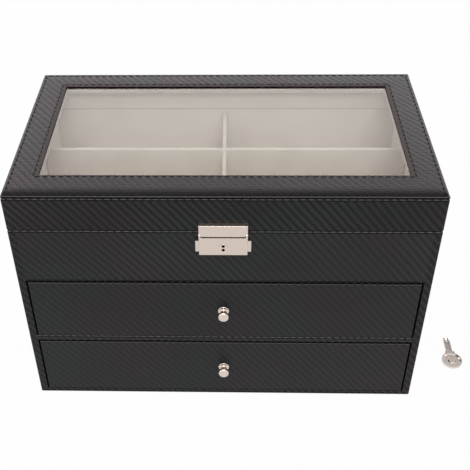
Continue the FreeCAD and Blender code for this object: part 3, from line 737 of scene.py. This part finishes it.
def outline_stitching(name, row, level, body):
    """Stitches along a rectangle on the top of the lid."""
    chance = random.Random(MAKER_SEED)
    (x0, y0, _), (x1, y1, _) = row
    corners = [Vector((x, y, level)) for x, y in ((x0, y0), (x1, y0), (x1, y1), (x0, y1))]
    build = bmesh.new()
    for start, end in zip(corners, corners[1:] + corners[:1]):
        stitch_run(build, start, end, Vector((0, 0, 1)), chance)
    return piece(name, build, body, black_thread)


def wall_stitching(name, low, high, row_z, body, sides=("front", "right", "back", "left"), gaps=None):
    """Stitches along a level line round the walls; gaps are spans along X left bare on a side."""
    chance = random.Random(MAKER_SEED)
    inset = corner_clearance
    lines = {
        "front": ((low.x + inset, low.y), (high.x - inset, low.y), (0, -1)),
        "right": ((high.x, low.y + inset), (high.x, high.y - inset), (1, 0)),
        "back": ((high.x - inset, high.y), (low.x + inset, high.y), (0, 1)),
        "left": ((low.x, high.y - inset), (low.x, low.y + inset), (-1, 0)),
    }
    build = bmesh.new()
    for side in sides:
        start, end, out = lines[side]
        corners = [start]
        for gap in (gaps or {}).get(side, ()):
            corners += [(value, start[1]) for value in gap]
        corners.append(end)
        for first, last in zip(corners[::2], corners[1::2]):
            stitch_run(build, Vector((*first, row_z)), Vector((*last, row_z)), Vector((*out, 0)), chance)
    return piece(name, build, body, black_thread)


# Finishes.
drawer_tops = [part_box(drawer)[1].z for drawer in ("upper_drawer_front", "lower_drawer_front")]
wall_leatherette = leatherette(
    "wall_leatherette", gloss=0.13, contrast=0.8,
    level_rows=[lid_row_z, rim_row_z, base_row_z],
    level_folds=[lid_high.z - fold_inset * MM, body_high.z - fold_inset * MM],
    level_shadows=[(lid_low.z + fold_inset * MM, False)])
front_leatherette = leatherette(
    "front_leatherette", gloss=0.18, contrast=0.6,
    level_rows=[rim_row_z, fascia_row_z, shelf_row_z, base_row_z],
    level_folds=[fascia_high.z - fold_inset * MM, shelf_high.z - fold_inset * MM])
drawer_leatherette = leatherette(
    "drawer_leatherette", gloss=0.165, contrast=0.4,
    level_folds=[top - drawer_fold_inset * MM for top in drawer_tops],
    level_shadows=[(top - fold_inset * MM, True) for top in drawer_tops])
cover_leatherette = leatherette(
    "cover_leatherette", gloss=0.6, contrast=1.0, gloss_tint=(1.0, 0.83, 0.87),
    outline_rows=[outer_row, inner_row], plain_inside=inner_row, domed=True)
lining_velvet = velvet("lining_velvet", (0.84, 0.76, 0.705), (0.765, 0.69, 0.64))
wall_velvet = velvet("wall_velvet", (0.885, 0.805, 0.75), (0.83, 0.75, 0.695))
# Lighter than on the tray's walls, to match the tones in the photograph: the same velvet with painted
# light, where the lid's inside gets less light.
lid_velvet_painted_light = velvet("lid_velvet_painted_light", (0.955, 0.88, 0.82), (0.91, 0.835, 0.775))
divider_velvet = velvet("divider_velvet", (0.83, 0.75, 0.68), (0.77, 0.69, 0.62))
lock_nickel = brushed_nickel("lock_nickel", (0.715, 0.615, 0.55), roughness=0.35, lines=0.012)
cylinder_low, cylinder_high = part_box("key_cylinder")
cylinder_face = Vector((0.0, cylinder_low.y, (cylinder_low.z + cylinder_high.z) / 2))
pin_holes = [(cylinder_face + Vector((0, 0, way * pin_hole_spacing / 2)), pin_hole_radius)
             for way in (-1, 1)]
cylinder_nickel = brushed_nickel("cylinder_nickel", (0.72, 0.62, 0.555), roughness=0.3, lines=0.012,
                                 bores=pin_holes)
hinge_nickel = brushed_nickel("hinge_nickel", (0.78, 0.73, 0.68), roughness=0.34, lines=0.008)
knob_nickel = polished_nickel("knob_nickel", (0.7, 0.605, 0.54))
key_nickel = polished_nickel("key_nickel", (0.8, 0.71, 0.66))
screw_zinc = zinc_plate("screw_zinc", (0.62, 0.63, 0.65))
drawer_paper = fibre_sheet("drawer_paper", (0.018, 0.018, 0.019), fibre_size=0.9, depth=0.03,
                           roughness=0.75)
black_felt = fibre_sheet("black_felt", (0.012, 0.012, 0.012), fibre_size=0.5, depth=0.15, roughness=0.93)
black_thread = thread("black_thread")
pane_glass = window_glass("pane_glass")

node_finishes = {
    wall_leatherette: ["left_side_panel", "right_side_panel", "back_panel", "lid_left_wall",
                       "lid_right_wall", "lid_front_wall", "lid_back_wall"],
    front_leatherette: ["front_fascia", "drawer_shelf", "base_panel"],
    drawer_leatherette: ["upper_drawer_front", "lower_drawer_front"],
    cover_leatherette: ["lid_cover_frame"],
    lock_nickel: ["hasp_plate", "hasp_flap", "press_tab_left", "press_tab_right"],
    cylinder_nickel: ["key_cylinder"],
    hinge_nickel: ["hinge_body_leaves", "hinge_lid_leaves"],
    knob_nickel: ["upper_drawer_knob", "lower_drawer_knob"],
    key_nickel: ["key"],
    screw_zinc: ["hasp_pin", "hasp_studs", "strike_plate", "strike_screws", "lock_cam",
                 "press_tab_spring_left", "press_tab_spring_right", "hinge_body_screws",
                 "hinge_lid_screws", "hinge_pins", "upper_drawer_knob_screw", "lower_drawer_knob_screw"],
    drawer_paper: ["tray_floor"] + [drawer + board for drawer in ("upper_drawer", "lower_drawer")
                                    for board in ("_bottom", "_left_side", "_right_side", "_back")],
    black_felt: ["base_felt"],
    pane_glass: ["glass_pane"],
    lining_velvet: ["tray_floor_pad", "tray_wall_lining", "lid_wall_lining", "glass_retainer",
                    "upper_drawer_lining", "lower_drawer_lining"],
    divider_velvet: ["tray_long_divider", "tray_cross_dividers", "upper_drawer_long_divider",
                     "upper_drawer_cross_dividers", "lower_drawer_long_divider",
                     "lower_drawer_cross_dividers"],
}
for finish, names in node_finishes.items():
    for name in names:
        nodes[name].data.materials.clear()
        nodes[name].data.materials.append(finish)


# Velvet in the tray and the lid.
def line_tray():
    low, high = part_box("tray_wall_lining")
    high = high + Vector((0, 0, lining_lip))
    wall_lining("tray_wall_velvet", low, high, tray_lining_thickness, "carcass", wall_velvet,
                ["tray_wall_lining"])
    low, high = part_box("tray_floor_pad")
    crowned_pad("tray_pad", low, high, "tray", tray_lining_thickness, "carcass", lining_velvet,
                ["tray_floor_pad"])
    dividers("tray", "carcass", pad_edge_fall, divider_velvet)


def line_lid():
    low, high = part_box("lid_wall_lining")
    low = low - Vector((0, 0, lining_lip))
    wall_lining("lid_wall_velvet", low, high, tray_lining_thickness, "lid", lid_velvet_painted_light,
                ["lid_wall_lining"])
    softened_copy("glass_retainer", "glass_retainer_velvet", retainer_edge_radius, "lid",
                  lining_velvet)


def line_drawer(prefix):
    low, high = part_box(prefix + "_lining")
    pad_top = low.z + drawer_pad_thickness
    crowned_pad(prefix + "_pad", low, Vector((high.x, high.y, pad_top)), prefix, drawer_lining_thickness,
                prefix, lining_velvet, [prefix + "_lining"])
    wall_lining(prefix + "_wall_velvet", Vector((low.x, low.y, pad_top)), high, drawer_lining_thickness,
                prefix, wall_velvet, [prefix + "_lining"])
    dividers(prefix, prefix, pad_edge_fall, divider_velvet)


def stitch_box():
    lock_low, lock_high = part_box("hasp_plate")
    hinge_spans = [(way * hinge_middle_x + hinge_half_span, way * hinge_middle_x - hinge_half_span)
                   for way in (1, -1)]
    outline_stitching("cover_outer_stitching", outer_row, cover_high.z, "lid")
    outline_stitching("cover_inner_stitching", inner_row, cover_high.z, "lid")
    wall_stitching("lid_wall_stitching", lid_low, lid_high, lid_row_z, "lid")
    wall_stitching("rim_stitching", body_low, body_high, rim_row_z, "carcass",
                   gaps={"front": [(lock_low.x, lock_high.x)], "back": hinge_spans})
    wall_stitching("base_stitching", body_low, body_high, base_row_z, "carcass")
    wall_stitching("fascia_stitching", fascia_low, fascia_high, fascia_row_z, "carcass", sides=("front",))
    wall_stitching("shelf_stitching", shelf_low, shelf_high, shelf_row_z, "carcass", sides=("front",))


line_tray()
line_lid()
line_drawer("upper_drawer")
line_drawer("lower_drawer")
stitch_box()


# The photograph's frame and the camera solved from the corners of the box.
frame_pixels = 470
focal_pixels = 815.9
middle_pixel = Vector((204.65, 232.2))
sensor_width = 36.0
camera_place = Vector((6.1, -581.0, 585.0)) * MM
camera_turn = [math.radians(angle) for angle in (50.908, 1.016, 1.574)]
camera_near_limit = 0.01

# The studio. The easings say from and to which height or depth of a sight line, and how bright.
behind_the_box = (0.2, 0.6)
low_bright_band = (0.65, 0.5, 0.02, 1.45)
high_sky = (0.69, 0.73, 0.0, 0.95)
floor_half = 4.0
box_middle = (0.0, 0.0, 0.12)


def set_camera():
    camera = bpy.data.objects.new("camera", bpy.data.cameras.new("camera"))
    bpy.context.scene.collection.objects.link(camera)
    camera.location = camera_place
    camera.rotation_euler = camera_turn
    camera.data.sensor_width = sensor_width
    camera.data.lens = focal_pixels * sensor_width / frame_pixels
    camera.data.shift_x = (frame_pixels / 2 - middle_pixel.x) / frame_pixels
    camera.data.shift_y = (middle_pixel.y - frame_pixels / 2) / frame_pixels
    camera.data.clip_start = camera_near_limit
    bpy.context.scene.camera = camera


def softbox(name, place, width, depth, radiance):
    """An even panel of light that faces the middle of the box."""
    light = bpy.data.lights.new(name, "AREA")
    light.shape = "RECTANGLE"
    light.size, light.size_y = width, depth
    light.energy = radiance * math.pi * width * depth
    holder = bpy.data.objects.new(name, light)
    bpy.context.scene.collection.objects.link(holder)
    holder.location = place
    holder.rotation_euler = (Vector(box_middle) - Vector(place)).to_track_quat("-Z", "Y").to_euler()


def set_stage():
    build = bmesh.new()
    bmesh.ops.create_grid(build, x_segments=2, y_segments=2, size=floor_half)
    mesh = bpy.data.meshes.new("floor")
    build.to_mesh(mesh)
    build.free()
    floor = bpy.data.objects.new("floor", mesh)
    bpy.context.scene.collection.objects.link(floor)
    mesh.materials.append(white_stage("white_floor", seen_share=0.97))


set_camera()
set_stage()
bpy.context.scene.world = studio_world(ambient=0.5)
softbox("overhead_panel", (0.0, -0.55, 1.9), width=1.8, depth=1.3, radiance=1.7)
softbox("key_panel", (0.15, -1.8, 1.75), width=0.8, depth=0.5, radiance=8.8)
softbox("left_panel", (-1.6, -0.7, 0.9), width=0.9, depth=0.9, radiance=0.9)
bpy.context.scene.view_settings.view_transform = "Standard"
